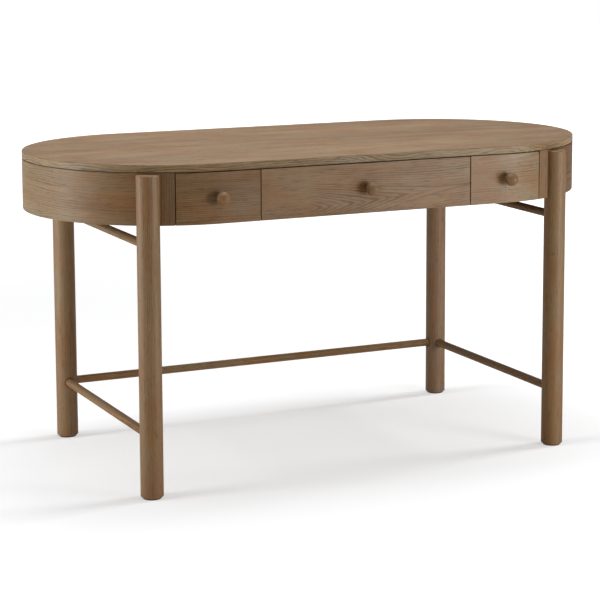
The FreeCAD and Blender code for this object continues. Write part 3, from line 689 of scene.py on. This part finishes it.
# The glow is lowered round the desk: a painted shadow on the floor, beside the lamps' own.
white = calc(tree, "MULTIPLY", seen, fade(tree, away, shade_edge, white_edge, shaded_glow, 1.0))
glow = put(tree, "ShaderNodeEmission", {"Color": (1.0, 1.0, 1.0, 1.0), "Strength": white})
tint = mix(tree, rays["Is Camera Ray"], (*paper_light, 1.0), (*paper_seen, 1.0))
matt = put(tree, "ShaderNodeBsdfDiffuse", {"Color": tint})
both = put(tree, "ShaderNodeAddShader", {0: glow.outputs[0], 1: matt.outputs[0]})
clear = put(tree, "ShaderNodeBsdfTransparent")
under = put(tree, "ShaderNodeNewGeometry").outputs["Backfacing"]
sided = put(tree, "ShaderNodeMixShader", {0: under, 1: both.outputs[0], 2: clear.outputs[0]})
tree.links.new(sided.outputs[0], out.inputs["Surface"])
floor.data.materials.append(paper)

world = bpy.data.worlds.new("white_room")
bpy.context.scene.world = world
world.use_nodes = True
tree = world.node_tree
rays = put(tree, "ShaderNodeLightPath").outputs
mirrored = calc(tree, "MAXIMUM", rays["Is Glossy Ray"], rays["Is Transmission Ray"])
backward = split(tree, put(tree, "ShaderNodeTexCoord").outputs["Generated"])[1]
# Mirrored, the room too is darker in front of the desk than behind it.
behind = fade(tree, backward, -0.3, 0.3, 0.3, 0.6)
seen = calc(tree, "MULTIPLY_ADD", mirrored, behind, rays["Is Camera Ray"])
strength = calc(tree, "MULTIPLY_ADD", rays["Is Diffuse Ray"], room_fill, seen)
tree.links.new(strength, tree.nodes["Background"].inputs["Strength"])
tree.nodes["Background"].inputs["Color"].default_value = (1.0, 1.0, 1.0, 1.0)

# The lamps: two soft ones overhead, low ones at the left and one low at the right front, with cards
# that keep them off the far legs. The drawer fronts and knobs have their own lamp further forward, and
# a gleam from the right. Two more graze the floor alone, and draw out the legs' shadows there.


def soft_lamp(name, place, aim, size, power):
    """A sheet of even light that faces the aim. The camera doesn't see it."""
    lamp = bpy.data.lights.new(name, "AREA")
    lamp.shape = "RECTANGLE"
    lamp.size, lamp.size_y = size
    lamp.energy = power
    made = bpy.data.objects.new(name, lamp)
    bpy.context.scene.collection.objects.link(made)
    made.location = place
    made.rotation_euler = (Vector(aim) - Vector(place)).to_track_quat("-Z", "Y").to_euler()
    made.visible_camera = False
    return made


def keep_off(lamp, names):
    """A card that keeps a lamp's light off some pieces."""
    card = bpy.data.collections.new(f"{lamp.name}_card")
    for name in names:
        card.objects.link(nodes[name])
    for piece in card.collection_objects:
        piece.light_linking.link_state = "EXCLUDE"
    lamp.light_linking.receiver_collection = card


soft_lamp("overhead_lamp", (0.0, 0.3, 2.6), (0.0, 0.0, 0.7), size=(1.2, 0.8), power=18.4)
soft_lamp("wide_lamp", (0.0, 0.1, 2.4), (0.0, 0.0, 0.7), size=(2.4, 1.6), power=16.2)
left_lamps = [soft_lamp("left_lamp", (-2.2, 0.3, 0.45), (-0.5, 0.0, 0.3), size=(0.8, 0.8), power=10.1),
              soft_lamp("left_far_lamp", (-3.4, 0.1, 0.8), (-0.5, 0.0, 0.4), size=(0.8, 0.8), power=11.9),
              soft_lamp("left_back_lamp", (-1.8, 1.0, 0.7), (-0.5, 0.0, 0.4), size=(0.6, 1.2), power=2.1),
              soft_lamp("left_near_lamp", (-1.5, -0.2, 0.6), (-0.6, 0.0, 0.4), size=(0.4, 1.2), power=1.0)]
for lamp in left_lamps:
    keep_off(lamp, ["leg_front_right", "leg_back_right", "stretcher_right", "upper_stretcher_right"])
fronts = [f"{side}_drawer_{part}" for side in ("left", "centre", "right") for part in ("front", "knob")]
right_lamp, gleam_lamp = [soft_lamp(name, (1.6, -2.2, 0.6), (0.3, -0.3, 0.6), size=(0.8, 0.8), power=28.5)
                          for name in ("right_front_lamp", "gleam_lamp")]
front_lamp = soft_lamp("front_lamp", (1.15, -2.8, 0.8), (0.1, -0.35, 0.68), size=(0.7, 0.7), power=30.5)
front_lamp.visible_glossy = False
gleam_lamp.visible_diffuse = False
keep_off(right_lamp, ["leg_back_left"] + fronts)


def light_only(lamp, pieces):
    """Leaves a lamp's light on these pieces alone."""
    lit = bpy.data.collections.new(f"{lamp.name}_lit")
    for piece in pieces:
        lit.objects.link(piece)
    lamp.light_linking.receiver_collection = lit


for lamp in (front_lamp, gleam_lamp):
    light_only(lamp, [nodes[name] for name in fronts])

floor_lamp_tilt = math.radians(76)
floor_lamp_spread = math.radians(22)
for side, azimuth, power in (("left", 177.0, 1.8), ("right", 0.0, 3.8)):
    ray = bpy.data.lights.new(f"{side}_floor_lamp", "SUN")
    ray.energy = power
    ray.angle = floor_lamp_spread
    made = bpy.data.objects.new(f"{side}_floor_lamp", ray)
    bpy.context.scene.collection.objects.link(made)
    made.rotation_euler = (0.0, floor_lamp_tilt, math.radians(azimuth))
    light_only(made, [floor])

# The camera: it stands to the left of the desk's front, about half a metre above the top, and looks
# slightly down with a long lens, as the photograph was taken.

camera_place = (-2.065, -4.461, 1.320)
camera_turn = math.radians(26.28)
camera_tip = math.radians(8.18)
camera = bpy.data.cameras.new("camera")
camera.sensor_width = 36.0
camera.lens = 120.4
camera.shift_x = -0.1
camera.shift_y = -0.1667
viewer = bpy.data.objects.new("camera", camera)
bpy.context.scene.collection.objects.link(viewer)
viewer.matrix_world = (Matrix.Translation(camera_place) @ Matrix.Rotation(-camera_turn, 4, "Z")
                       @ Matrix.Rotation(math.pi / 2 - camera_tip, 4, "X"))
bpy.context.scene.camera = viewer
bpy.context.scene.view_settings.view_transform = "Standard"
